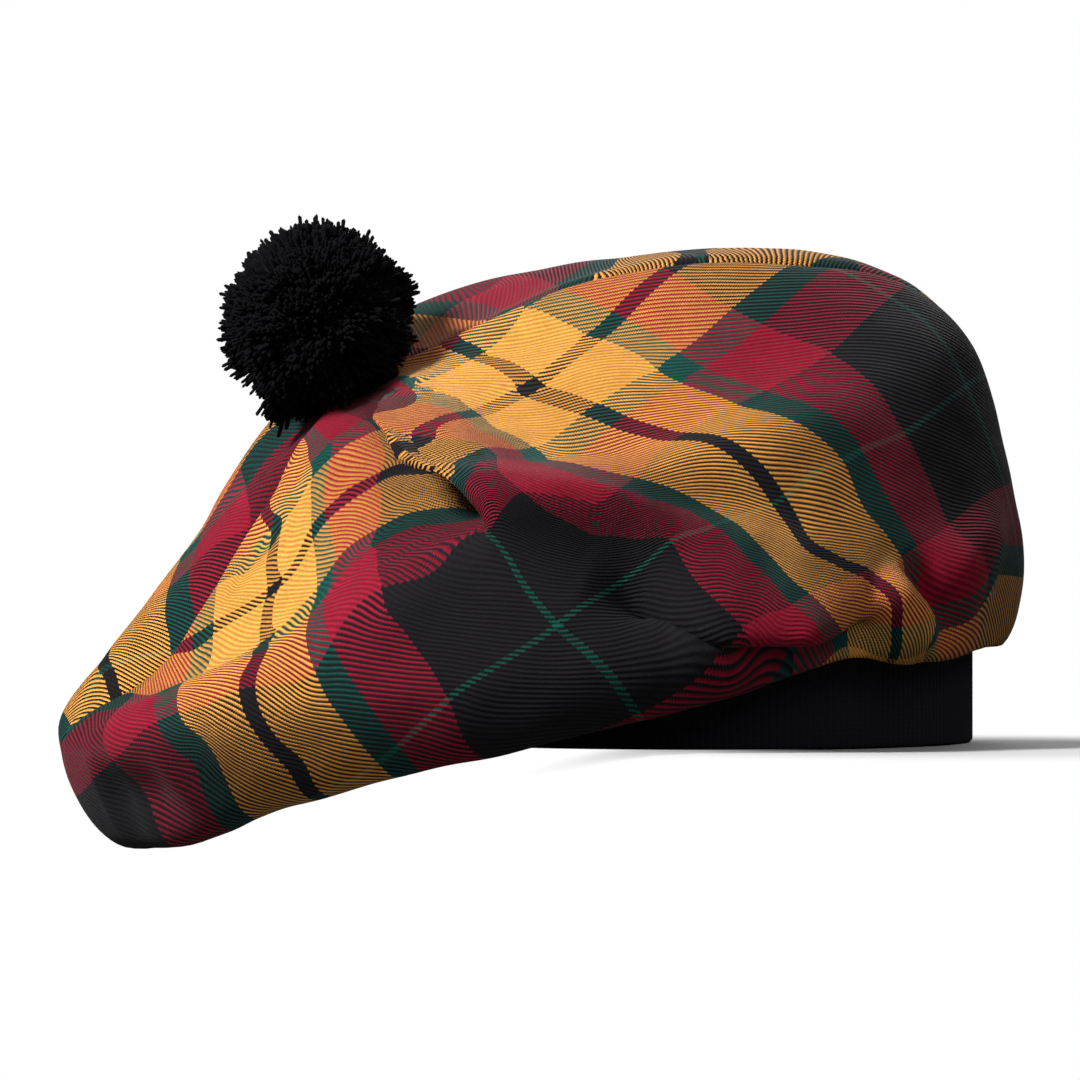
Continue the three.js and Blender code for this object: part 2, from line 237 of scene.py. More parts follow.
def meridian_points(azimuth):
    """The seven points that the crown passes in one direction, from the pompom's seat to the headband."""
    a = np.radians(azimuth)
    out = section("rim_out", azimuth)
    rim = np.stack([
        CROWN_HALF_WIDTH * out * np.cos(a) - CROWN_LEAN,
        CROWN_HALF_DEPTH * out * np.sin(a),
        CROWN_FOOT + CROWN_RISE * section("rim_up", azimuth),
    ], -1)
    collar = on_headband(azimuth, COLLAR_OVERHANG, CROWN_FOOT)
    seat = np.broadcast_to(POMPOM_SEAT, rim.shape)

    def between(start, end, share, up):
        point = start + (end - start) * np.broadcast_to(share, azimuth.shape)[..., None]
        point[..., 2] = CROWN_FOOT + CROWN_RISE * section(up, azimuth)
        return point

    crest = between(seat, rim, CREST_REACH, "crest_up")
    apex = between(seat, rim, APEX_REACH, "apex_up")
    brow = between(seat, rim, section("brow_reach", azimuth), "brow_up")
    hem = between(rim, collar, section("hem_in", azimuth), "hem_up")
    return np.stack([seat, crest, apex, brow, rim, hem, collar], -2)


def spline(points, t):
    """The place at t, from 0 to 1, on centripetal Catmull-Rom curves through points (..., count, 3)."""
    first, last = 2 * points[..., :1, :] - points[..., 1:2, :], 2 * points[..., -1:, :] - points[..., -2:-1, :]
    chain = np.concatenate([first, points, last], -2)
    spans = points.shape[-2] - 1
    span = np.minimum(np.floor(np.clip(t, 0, 1) * spans).astype(int), spans - 1)
    w = (t * spans - span)[..., None]
    a, b, c, d = (np.take_along_axis(chain, (span + k)[..., None, None], -2)[..., 0, :] for k in range(4))
    ab, bc, cd = (np.sqrt(norm(q - p, axis=-1, keepdims=True)) for p, q in ((a, b), (b, c), (c, d)))
    into = ((b - a) / ab - (c - a) / (ab + bc) + (c - b) / bc) * bc
    away = ((c - b) / bc - (d - b) / (bc + cd) + (d - c) / cd) * bc
    return b + w * into + w**2 * (3 * (c - b) - 2 * into - away) + w**3 * (2 * (b - c) + into + away)


class Meridians:
    """Turns a reach, the share of a meridian's length, into the curve's own t, by a table for each degree."""

    def __init__(self, steps=240):
        self.steps = steps
        azimuth, t = np.meshgrid(np.arange(361.0), np.linspace(0, 1, steps + 1), indexing="ij")
        runs = norm(np.diff(spline(meridian_points(azimuth), t), axis=1), axis=-1)
        lengths = np.concatenate([np.zeros((361, 1)), np.cumsum(runs, 1)], 1)
        self.length = lengths[:, -1]
        self.table = np.stack([np.interp(t[0] * row[-1], row, t[0]) for row in lengths])

    def length_at(self, azimuth):
        return np.interp(np.mod(azimuth, 360), np.arange(361), self.length)

    def place(self, azimuth, reach):
        """The unfolded crown at a direction and a reach."""
        azimuth, reach = np.broadcast_arrays(np.asarray(azimuth, float), np.asarray(reach, float))
        degree = np.mod(azimuth, 360)
        i, r = np.floor(degree).astype(int), np.clip(reach, 0, 1) * self.steps
        j = np.minimum(np.floor(r).astype(int), self.steps - 1)
        a, b = degree - i, r - j
        near = (1 - b) * self.table[i, j] + b * self.table[i, j + 1]
        far = (1 - b) * self.table[i + 1, j] + b * self.table[i + 1, j + 1]
        return spline(meridian_points(azimuth), (1 - a) * near + a * far)


def fold_line(fold, meridians, steps=24):
    """A fold's line: the parabola through its three places, laid on the unfolded crown."""
    start, mid, end = (np.array(fold[k], float) for k in range(3))
    t = np.linspace(0, 1, steps + 1)[:, None]
    bend = (1 - t) * (1 - 2 * t) * start + 4 * t * (1 - t) * mid + t * (2 * t - 1) * end
    return meridians.place(bend[:, 0], bend[:, 1])


def nearest_on(line, points):
    """The shortest way from a line to each point, its length, how far along the line it starts, and which way the
    line runs there."""
    off, along = np.full(points.shape[:-1], np.inf), np.zeros(points.shape[:-1])
    apart, way = np.zeros(points.shape), np.zeros(points.shape)
    for i, (a, b) in enumerate(zip(line[:-1], line[1:])):
        run = b - a
        share = np.clip((points - a) @ run / (run @ run), 0, 1)
        away = points - a - share[..., None] * run
        gap = norm(away, axis=-1)
        closer = gap < off
        off = np.where(closer, gap, off)
        along = np.where(closer, (i + share) / (len(line) - 1), along)
        apart = np.where(closer[..., None], away, apart)
        way = np.where(closer[..., None], run, way)
    return apart, off, along, way


def beside(fold, points, normals, meridians):
    """Points seen from a fold's line: how far off, how far along, on which side (1 is left), and the way left."""
    apart, off, along, way = nearest_on(fold_line(fold, meridians), points)
    left = np.cross(normals, way)
    left /= norm(left, axis=-1, keepdims=True) + 1e-9
    return off, along, np.sign((apart * left).sum(-1)), left


def folded(points, normals, azimuth, reach, meridians):
    """The crown with its gathers and folds. An even fold moves the cloth by a bell curve of the distance from its
    line; a lapped one by the signed distance times such a bell, which carries one side of the cloth over the other."""
    free = smoothstep(reach, 0, 0.1) * (1 - smoothstep(reach, 0.88, 0.98))
    gathered = smoothstep(reach, 0.76, 0.92) * (1 - smoothstep(reach, 0.94, 1))
    ripple = gathered * GATHER_DEPTH * np.cos(np.radians(GATHER_COUNT * azimuth))
    moved = points + normals * ripple[..., None]
    for fold in map(Fold._make, FOLDS):
        off, along, side, left = beside(fold, points, normals, meridians)
        ends = np.minimum(along, 1 - along)
        far = off / (fold.width * CROWN_RISE)
        swell = CROWN_RISE * free * smoothstep(ends, -0.1, 0.35) * np.exp(-(far**2))
        carry = CROWN_RISE * free * smoothstep(ends, 0, 0.4) * side * far * np.exp((1 - far**2) / 2)
        moved = moved + normals * (swell * fold.out + carry * fold.lift)[..., None]
        moved = moved - left * (carry * fold.lap)[..., None]
    return moved


def ring_sides(ring):
    """Normals of a closed ring of columns, facing out, and the way round it."""
    around = np.roll(ring, -1, 0) - np.roll(ring, 1, 0)
    around /= norm(around, axis=-1, keepdims=True)
    down = [ring[:, 1:2] - ring[:, :1], ring[:, 2:] - ring[:, :-2], ring[:, -1:] - ring[:, -2:-1]]
    down = np.concatenate(down, 1)
    normal = np.cross(down, around)
    return normal / norm(normal, axis=-1, keepdims=True), around


def panel_places(columns, rows, start, end, turn, meridians):
    """Directions and reaches of one panel's columns, evenly spread between the two sides of the seam."""
    share, down = np.arange(columns)[:, None] / columns, np.arange(rows + 1)[None] / rows
    first = seam_azimuth(start, 0.0) + (seam_azimuth(end, 0.0) + turn - seam_azimuth(start, 0.0)) * share
    hole = TIE_HOLE_RADIUS / meridians.length_at(first)
    reach = 1 - (1 - hole) * (1 - down)
    azimuth = seam_azimuth(start, reach)
    return azimuth + (seam_azimuth(end, reach) + turn - azimuth) * share, reach


def crown_ring(front, back, rows):
    """The crown's outside as a closed ring of columns, the front panel's first, with directions, reaches and the side
    of the big roll that each place is on."""
    meridians = Meridians()
    azimuth, reach = (np.concatenate(pair) for pair in zip(
        panel_places(front, rows, "left", "right", 360, meridians),
        panel_places(back, rows, "right", "left", 0, meridians),
    ))
    flat = meridians.place(azimuth, reach)
    normals, _ = ring_sides(flat)
    over = beside(FOLDS[0], flat, normals, meridians)[2]
    return folded(flat, normals, azimuth, reach, meridians), azimuth, reach, over, meridians


def to_photo(points):
    """Where points in millimetres fall in the photograph, as x, y and depth."""
    scale = PIXELS_PER_MM * CAMERA_AWAY / (points[..., 1] + CAMERA_AWAY)
    x = PHOTO_SIDE / 2 + (points[..., 0] - CAMERA_X) * scale
    y = PHOTO_SIDE / 2 - (points[..., 2] - CAMERA_Z) * scale
    return np.stack([x, y, points[..., 1]], -1)


# Blender helpers

def linear(hex_colour):
    """An sRGB hex colour as linear red, green, blue and full alpha."""
    srgb = np.array([int(hex_colour[i:i + 2], 16) for i in (1, 3, 5)]) / 255
    channels = np.where(srgb <= 0.04045, srgb / 12.92, ((srgb + 0.055) / 1.055) ** 2.4)
    return (*channels.tolist(), 1.0)


def mesh_object(name, vertices, quads, uv=None, triangles=None):
    """A mesh from whole arrays: vertices in millimetres, corners of quads and triangles, and a UV per vertex."""
    mesh = bpy.data.meshes.new(name)
    triangles = np.zeros((0, 3), int) if triangles is None else triangles
    corners = np.concatenate([quads.ravel(), triangles.ravel()])
    starts = np.concatenate([4 * np.arange(len(quads)), quads.size + 3 * np.arange(len(triangles))])
    mesh.vertices.add(len(vertices))
    mesh.vertices.foreach_set("co", (vertices * MM).astype(np.float32).ravel())
    mesh.loops.add(len(corners))
    mesh.loops.foreach_set("vertex_index", corners.astype(np.int32))
    mesh.polygons.add(len(starts))
    mesh.polygons.foreach_set("loop_start", starts.astype(np.int32))
    mesh.polygons.foreach_set("use_smooth", np.ones(len(starts), bool))
    if uv is not None:
        layer = mesh.uv_layers.new(name="cloth")
        layer.data.foreach_set("uv", uv[corners].astype(np.float32).ravel())
    mesh.update(calc_edges=True)
    mesh.validate()
    piece = bpy.data.objects.new(name, mesh)
    bpy.context.collection.objects.link(piece)
    return piece


def grid_quads(columns, rows):
    """Corners of the quads of a grid of columns by rows of vertices, column after column."""
    i = np.arange(columns * rows).reshape(columns, rows)
    return np.stack([i[:-1, :-1], i[:-1, 1:], i[1:, 1:], i[1:, :-1]], -1).reshape(-1, 4)


def add_node(tree, kind, inputs=None, **options):
    """Adds a node, sets its options, and sets or links its inputs. A node given as an input links its first output."""
    node = tree.nodes.new("ShaderNode" + kind)
    for option, value in options.items():
        setattr(node, option, value)
    for key, value in (inputs or {}).items():
        if isinstance(value, bpy.types.Node):
            value = value.outputs[0]
        if isinstance(value, bpy.types.NodeSocket):
            tree.links.new(value, node.inputs[key])
        else:
            node.inputs[key].default_value = value
    return node


def empty_tree(block):
    """Empties the node tree of a new material or world, and gives add_node for it."""
    block.use_nodes = True
    block.node_tree.nodes.clear()
    return partial(add_node, block.node_tree)


def woollen(node, colour, height, strength, relief, roughness, sheen, sheen_roughness, specular):
    """Ends a material as wool: matt, with faint sheen and gloss, over a relief of a height in metres."""
    bump = node("Bump", {"Height": height, "Strength": strength, "Distance": relief})
    shader = node("BsdfPrincipled", {
        "Base Color": colour, "Roughness": roughness, "Sheen Weight": sheen, "Sheen Roughness": sheen_roughness,
        "Specular IOR Level": specular, "Normal": bump,
    })
    node("OutputMaterial", {"Surface": shader})


# The tartan laid on the crown

# Where the sett's lines fall: a place in the photograph, the warp's and the weft's distance from the middle of a
# yellow square in millimetres, or FREE where only the other is known, and the side of the big roll, if it matters:
# OVER for the cloth on top of it and UNDER for the cloth that runs below
FREE = float("nan")
SETT = 2 * SETT_HALF
ANY, OVER, UNDER = 0, 1, -1
Pin = namedtuple("Pin", ("photo_x", "photo_y", "warp", "weft", "layer"), defaults=(ANY,))
FRONT_PINS = [
    (530, 388, 0, 0), (523, 306, -25, -25), (660, 368, -25, 25), (537, 447, 25, 25), (419, 380, 25, -25),
    (590, 409, 0, 25), (679, 434, 0, 57.6), (760, 475, 0, 86), (779, 499, 0, 97), (868, 573, 0, 136.4),
    (592, 335, -25, 0), (667, 269, -57.6, 0), (274.5, 588.5, SETT, 0), (313, 530, SETT - 25, 0),
    (322, 517, SETT - 35, 0), (213, 627, SETT + 25, 0), (192, 642, SETT + 35, 0), (131, 670, SETT + 57.6, 0),
    (275, 538, SETT, -25), (275, 521, SETT, -35), (277, 468, SETT, -57.6), (265, 635, SETT, 25),
    (262, 650, SETT, 35), (248, 685, SETT, 57.6), (290, 760, SETT, FREE), (322, 803, SETT, FREE),
    (555, 622, 97, 97), (636, 714, 97, 136.4), (445, 697, 136.4, 97), (672, 543, 57.6, 97), (848, 460, -25, 97),
    (903, 431, -57.6, 97), (381, 588, 136.4, 57.6), (745, 630, 57.6, 136.4), (596, 744, 112, 136.4),
    (750, 396, -30, FREE), (798, 415, -30, FREE), (830, 428, -30, FREE), (852, 456, -30, FREE),
    (869, 485, -30, FREE), (884, 513, -30, FREE), (906, 545, -30, FREE), (770, 360, -46, 46),
    (828, 350, -57.6, 57.6), (947, 519, -57.6, FREE), (902, 289, FREE, 57.6), (677, 370, -30, 30),
    (401, 380, 30, -30, OVER), (376, 384, 46, -46, OVER), (177, 711, SETT + 25, 57.6),
    (158, 719, SETT + 35, 57.6), (220, 765, SETT + 25, FREE), (255, 823, SETT + 25, FREE),
    (200, 767, SETT + 35, FREE), (400, 783, SETT - 25, FREE), (170, 683, FREE, 30), (115, 697, FREE, 30),
    (64, 724, FREE, 30), (140, 737, FREE, 57.6), (105, 763, FREE, 57.6), (210, 701, FREE, 57.6),
    (300, 682, FREE, 57.6), (313, 475, SETT - 25, -25), (321, 457, SETT - 30, -30), (313, 500, SETT - 25, FREE),
    (321, 490, SETT - 35, FREE), (314, 560, SETT - 25, FREE), (318, 588, SETT - 25, 25),
    (324, 594, SETT - 35, 35), (300, 607, FREE, 25), (300, 497, FREE, -25), (285, 516, FREE, -25),
    (245, 570, FREE, -25), (296, 487, FREE, -35), (262, 545, FREE, -35), (350, 402, FREE, -57.6, UNDER),
    (330, 409, FREE, -57.6, UNDER), (312, 419, FREE, -57.6), (300, 435, FREE, -57.6),
    (352, 542, 150, FREE, UNDER), (373, 537, 136.4, 30, UNDER), (340, 555, FREE, 25, UNDER),
    (352, 562, FREE, 35, UNDER), (385, 612, 136.4, FREE), (372, 424, 136.4, -30, UNDER),
    (340, 436, 155, -35, UNDER), (476, 355, 0, -25), (453, 342, 0, -35), (440, 393, 25, FREE, OVER),
    (500, 430, 25, FREE, OVER), (430, 400, 35, FREE, OVER), (484, 457, FREE, 35, OVER),
    (535, 452, 30, 30, OVER), (826, 640, 35, 150), (842, 636, 25, 152), (915, 628, -8, 159),
    (940, 632, -30, 164), (950, 560, -46, 147), (985, 598, FREE, 164), (1004, 562, FREE, 164),
    (820, 552, 0, FREE), (475, 412, 25, 0, OVER), (462, 411, 35, 0, OVER), (421, 432, 57.6, 0, OVER),
    (416, 446, 63, 0, OVER), (497, 448, 57.6, 28, OVER), (518, 487, 57.6, 57.6, OVER),
    (466, 478, FREE, 35, OVER), (454, 478, FREE, 25, OVER), (512, 503, FREE, 57.6, OVER),
    (498, 514, 88, 57.6, OVER), (560, 492, FREE, 57.6, OVER), (600, 503, FREE, 57.6, OVER),
    (517, 450, 35, 25, OVER), (552, 457, 25, 35, OVER), (386, 402, FREE, -25, OVER),
    (376, 398, FREE, -35, OVER), (721, 662, FREE, 136.4), (689, 683, FREE, 136.4), (657, 708, FREE, 136.4),
    (421, 651, 136.4, FREE), (464, 744, 136.4, FREE), (430, 467, 108, 0, UNDER), (400, 466, 122, 0, UNDER),
    (378, 474, 136.4, 0, UNDER), (360, 487, FREE, 0, UNDER), (340, 500, FREE, 0, UNDER),
    (478, 506, FREE, 25, UNDER), (440, 507, FREE, 25, UNDER), (400, 515, FREE, 25, UNDER),
    (375, 530, FREE, 25, UNDER), (472, 521, FREE, 35, UNDER), (440, 521, FREE, 35, UNDER),
    (410, 525, FREE, 35, UNDER), (388, 536, FREE, 35, UNDER), (477, 524, FREE, 57.6, UNDER),
    (460, 540, FREE, 57.6, UNDER), (450, 555, FREE, 57.6, UNDER), (430, 572, FREE, 57.6, UNDER),
    (400, 580, FREE, 57.6, UNDER), (385, 428, FREE, -25, UNDER), (370, 432, FREE, -25, UNDER),
    (350, 440, FREE, -25, UNDER), (360, 419, FREE, -35, UNDER), (492, 527, 97, FREE, UNDER),
]
BACK_PINS = [
    (702, 261, 0, 97), (590, 272, -25, 72), (812, 266, 25, 122), (560, 277, -35, 62), (478, 290, -57.6, 39.4),
    (445, 300, -62, 35), (850, 268, 35, 132), (677, 246, 0, FREE), (103, 665, -SETT, -97),
    (165, 600, 25 - SETT, -72), (185, 572, 35 - SETT, -62), (242, 493, 57.6 - SETT, -39.4),
    (186, 548, 30 - SETT, -30), (225, 497, FREE, -30), (262, 445, FREE, -30),
]


PULL_BELLS = (36.0, 18.0, 10.0)
PULL_SLACK = 0.3


def find_pins(places, over, pins, near=5.0, farthest=14.0):
    """The grid index of the frontmost place of the right layer close to each pin in the photograph, and the pins that
    have one."""
    photo, pins = to_photo(places), np.array([Pin(*pin) for pin in pins])
    columns, rows = [], []
    for x, y, layer in pins[:, [0, 1, 4]]:
        off = np.hypot(photo[..., 0] - x, photo[..., 1] - y)
        off = np.where(over * layer < 0, np.inf, off)
        front = np.where(off < near, photo[..., 2] + off, np.inf)
        best = np.argmin(front) if np.isfinite(front).any() else np.argmin(off)
        column, row = np.unravel_index(best, off.shape)
        columns.append(column)
        rows.append(row if off[column, row] < farthest else -1)
    found = np.array(rows) >= 0
    return np.array(columns)[found], np.array(rows)[found], pins[found]


def flatten(places, start, pin_at, pin_to, rounds=200, pin_weight=1.0):
    """Lays a grid of places flat as rigidly as it can, from a starting plane shape, with some vertices drawn to given
    plane places. Each round turns every triangle's true shape to its best fit and solves for the corners."""
    count = start.size
    quads = grid_quads(*start.shape)
    corners = np.concatenate([quads[:, [0, 1, 2]], quads[:, [0, 2, 3]]])
    flat = places.reshape(-1, 3)[corners]
    one, two = flat[:, 1] - flat[:, 0], flat[:, 2] - flat[:, 0]
    base = norm(one, axis=1)
    along = (one * two).sum(1) / base
    up = np.sqrt(np.maximum((two**2).sum(1) - along**2, 1e-6))
    true = np.stack([np.zeros_like(base) + 0j, base + 0j, along + 1j * up], 1)
    stiffness, edges = np.zeros((count, count)), []
    for k in range(3):
        i, j = (k + 1) % 3, (k + 2) % 3
        a, b = true[:, i] - true[:, k], true[:, j] - true[:, k]
        cotangent = (a * b.conj()).real / np.maximum(np.abs((a.conj() * b).imag), 1e-6)
        weight = np.clip(cotangent, 0.08, 4) / 2
        edges.append((corners[:, i], corners[:, j], weight, true[:, i] - true[:, j]))
        for p, q in ((i, j), (j, i)):
            np.add.at(stiffness, (corners[:, p], corners[:, p]), weight)
            np.add.at(stiffness, (corners[:, p], corners[:, q]), -weight)
    solvers = []
    for values in (pin_to[:, 0], pin_to[:, 1]):
        known = np.isfinite(values)
        pull, target = np.zeros(count), np.zeros(count)
        np.add.at(pull, pin_at[known], pin_weight)
        np.add.at(target, pin_at[known], pin_weight * values[known])
        solvers.append((np.linalg.inv(stiffness + np.diag(pull) + 1e-6 * np.eye(count)), target))
    shape = start.ravel().copy()
    for _ in range(rounds):
        turn = sum(w * (shape[p] - shape[q]) * np.conj(edge) for p, q, w, edge in edges)
        turn /= np.maximum(np.abs(turn), 1e-9)
        wanted = np.zeros(count, complex)
        for p, q, w, edge in edges:
            force = w * turn * edge
            np.add.at(wanted, p, force)
            np.add.at(wanted, q, -force)
        (warp, to_warp), (weft, to_weft) = solvers
        shape = warp @ (wanted.real + to_warp) + 1j * (weft @ (wanted.imag + to_weft))
    return shape.reshape(start.shape)


def finer(grid, columns, rows):
    """A coarse grid on bicubic curves at more columns and rows."""

    def weights(count, wanted):
        x = np.linspace(0, count - 1, wanted)
        i = np.minimum(np.floor(x).astype(int), count - 2)
        t = x - i
        table, at = np.zeros((wanted, count)), np.arange(wanted)
        shares = (
            -0.5 * t + t**2 - 0.5 * t**3, 1 - 2.5 * t**2 + 1.5 * t**3,
            0.5 * t + 2 * t**2 - 1.5 * t**3, -0.5 * t**2 + 0.5 * t**3,
        )
        for shift, share in zip((-1, 0, 1, 2), shares):
            np.add.at(table, (at, np.clip(i + shift, 0, count - 1)), share)
        return table

    return weights(grid.shape[0], columns) @ grid @ weights(grid.shape[1], rows).T


def pulled(cloth, column, row, wanted, bell):
    """The cloth's plane drawn smoothly to its pins: a sum of bell curves about the pins, whose heights solve for how
    far each pin is missed."""
    parts = []
    for axis, values in enumerate((cloth.real, cloth.imag)):
        known = np.isfinite(wanted[:, axis])
        at = cloth[column[known], row[known]]
        missed = wanted[known, axis] - values[column[known], row[known]]
        near = np.exp(-np.abs(at[:, None] - at) ** 2 / (2 * bell**2))
        heights = np.linalg.solve(near + PULL_SLACK * np.eye(len(at)), missed)
        parts.append(values + np.exp(-np.abs(cloth[..., None] - at) ** 2 / (2 * bell**2)) @ heights)
    return parts[0] + 1j * parts[1]


def lay_tartan(places, over, coarse, azimuth, reach, meridians, pins, origin, along):
    """Warp and weft distances over one panel: the coarse panel unrolled about the pompom, laid flat to the pins, and
    spread over the fine one."""
    column, row, found = find_pins(places, over, pins)
    columns, rows = coarse.shape[:2]
    at_column = np.rint(column * (columns - 1) / (places.shape[0] - 1)).astype(int)
    at_row = np.rint(row * (rows - 1) / (places.shape[1] - 1)).astype(int)
    length = meridians.length_at(azimuth[:, -1])[:, None] * reach
    start = origin + length * np.exp(1j * np.radians(azimuth - along))
    flat = flatten(coarse, start, at_column * rows + at_row, found[:, 2:4])
    cloth = finer(flat, *places.shape[:2])
    for bell in PULL_BELLS:
        cloth = pulled(cloth, column, row, found[:, 2:4], bell)
    return cloth


# Pieces

def wrinkles(places, amount, waves=36, seed=5):
    """Soft random unevenness of the cloth: a sum of seeded sine waves of 14 to 60 mm."""
    random = np.random.default_rng(seed)
    way = random.normal(size=(waves, 3))
    way /= norm(way, axis=1, keepdims=True)
    wavelength = random.uniform(14, 60, waves)
    phase = random.uniform(0, 2 * np.pi, waves)
    height = np.zeros(places.shape[:-1])
    for w, size, start in zip(way, wavelength, phase):
        height += (size / 60) * np.sin(2 * np.pi * (places @ w) / size + start)
    return amount * height / np.sqrt(waves / 2)


def closed_wall(outside, inside):
    """Vertices and quads of a closed wall between two grids of the same columns and rows."""
    columns, rows = outside.shape[:2]
    vertices = np.concatenate([outside.reshape(-1, 3), inside.reshape(-1, 3)])
    i, inner = np.arange(columns * rows).reshape(columns, rows), columns * rows
    skin = grid_quads(columns, rows)
    rim = np.concatenate([i[0, :], i[1:, -1], i[-1, :-1][::-1], i[1:-1, 0][::-1]])
    after = np.roll(rim, -1)
    sides = np.stack([rim, rim + inner, after + inner, after], -1)
    return vertices, np.concatenate([skin, skin[:, ::-1] + inner, sides])


def closed_ball(centre, radius, columns, rows, start):
    """A closed ball: rings of equal turns between two poles. Its corners are counted from start."""
    turn = 2 * np.pi * np.arange(columns) / columns
    rise = np.pi * np.arange(1, rows)[:, None] / rows
    ring = np.stack([np.sin(rise) * np.cos(turn), np.sin(rise) * np.sin(turn), np.cos(rise) + 0 * turn], -1)
    way = np.concatenate([ring.reshape(-1, 3), [[0, 0, 1], [0, 0, -1]]])
    i = start + np.arange((rows - 1) * columns).reshape(rows - 1, columns)
    after = np.roll(i, -1, 1)
    quads = np.stack([i[:-1], i[1:], after[1:], after[:-1]], -1).reshape(-1, 4)
    top, bottom = np.full(columns, start + i.size), np.full(columns, start + i.size + 1)
    caps = np.concatenate([np.stack([top, i[0], after[0]], -1), np.stack([bottom, after[-1], i[-1]], -1)])
    return centre + radius * way, quads, caps


def crown_panels():
    """The two crown panels' grids: outside, inside, and the tartan's warp and weft on them."""
    front, back, rows = ((300, 200, 150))
    ring, _, reach, over, meridians = crown_ring(front, back, rows)
    normals, around = ring_sides(ring)
    settled = smoothstep(reach, 0.02, 0.12) * (1 - smoothstep(reach, 0.9, 0.99))
    ring = ring + normals * (settled * wrinkles(ring, settings().wrinkle_height / MM))[..., None]
    normals, around = ring_sides(ring)
    coarse_ring, coarse_azimuth, coarse_reach, _, _ = crown_ring(44, 30, 30)
    panels = {}
    for name, first, count, coarse_first, coarse_count, pins, origin, along in (
        ("front", 0, front, 0, 44, FRONT_PINS, 60 - 60j, 225),
        ("back", front, back, 44, 30, BACK_PINS, -81 + 16j, 315),
    ):
        own = (first + np.arange(count + 1)) % len(ring)
        coarse_own = (coarse_first + np.arange(coarse_count + 1)) % len(coarse_ring)
        turn = coarse_azimuth[coarse_own].copy()
        turn[-1] += 360 * np.round((turn[-2] - turn[-1]) / 360)
        places, out = ring[own], normals[own]
        cloth = lay_tartan(
            places, over[own], coarse_ring[coarse_own], turn, coarse_reach[coarse_own], meridians,
            pins, origin, along)
        steps = norm(np.diff(places, axis=0), axis=-1)
        run = np.concatenate([np.zeros((1, steps.shape[1])), np.cumsum(steps, 0)])
        edge = np.minimum(run, run[-1] - run)
        close = np.exp(-((edge / SEAM_WIDTH) ** 2))[..., None]
        draw = SEAM_GAP / 2 * np.sign(run[-1] - 2 * run)[..., None]
        outside = places + close * (around[own] * draw - out * SEAM_DIP)
        inside = outside - out * (settings().cloth_thickness / MM)
        panels[name] = (outside, inside, np.stack([cloth.real, cloth.imag], -1))
    return panels


def clear_of_crown(points, clearance=0.9):
    """Points in the crown, or closer to it than the clearance, moved out along its nearest normal."""
    ring = crown_ring(150, 100, 76)[0]
    normals, _ = ring_sides(ring)
    ring, normals = ring.reshape(-1, 3), normals.reshape(-1, 3)
    near = norm(ring - POMPOM_CENTRE, axis=1) < 2 * POMPOM_RADIUS
    ring, normals = ring[near].astype(np.float32), normals[near]
    loose = points.reshape(-1, 3).astype(np.float32)
    nearest = np.concatenate([
        np.argmin((ring**2).sum(1) - 2 * part @ ring.T, axis=1) for part in np.array_split(loose, 16)
    ])
    lift = ((loose - ring[nearest]) * normals[nearest]).sum(1)
    out = np.maximum(clearance - lift, 0)[:, None] * normals[nearest]
    return (loose + out).reshape(points.shape)


def yarn(name, colour):
    """Spun black yarn, cut: nearly without gloss, with fine fibre relief and faint sheen where it turns away."""
    material = bpy.data.materials.new(name)
    node = empty_tree(material)
    place = node("TexCoord").outputs["Object"]
    fibre = node("TexNoise", {"Vector": place, "Scale": YARN_GRAIN, "Detail": 3.0})
    woollen(node, colour, fibre, 0.6, YARN_RELIEF, roughness=0.9, sheen=0.012, sheen_roughness=0.5, specular=0.06)
    return material


